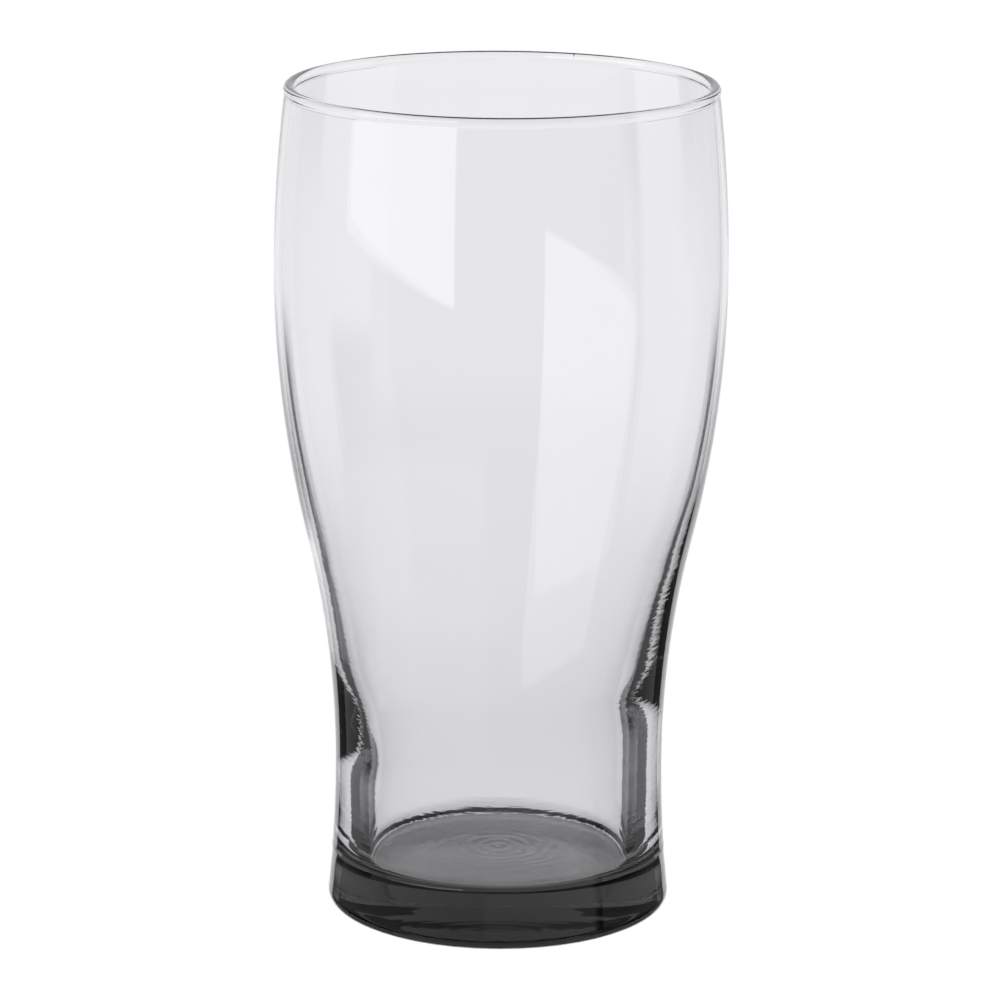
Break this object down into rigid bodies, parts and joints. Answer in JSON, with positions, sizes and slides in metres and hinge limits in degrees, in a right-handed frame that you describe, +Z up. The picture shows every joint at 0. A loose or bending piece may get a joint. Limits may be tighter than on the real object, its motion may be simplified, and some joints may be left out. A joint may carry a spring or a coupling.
{
  "type": "pint glass",
  "caption": "Tulip-shaped pint glass with a heavy smoke-tinted foot, thick waist, swelling clear wall and rounded polished rim.",
  "frame": {"origin": "centre of the circle that the foot's resting ring makes on the table", "axes": "+Z up along the glass's axis of revolution, out of the mouth; +X and +Y are any two directions across it"},
  "size_m": [0.0858, 0.0858, 0.16],
  "materials": {
    "smoke_glass": "polished",
    "clear_glass": "polished"
  },
  "bodies": {
    "root": {"tinted_foot": "smoke_glass", "clear_bowl": "clear_glass", "polished_rim": "clear_glass"}
  },
  "joints": []
}
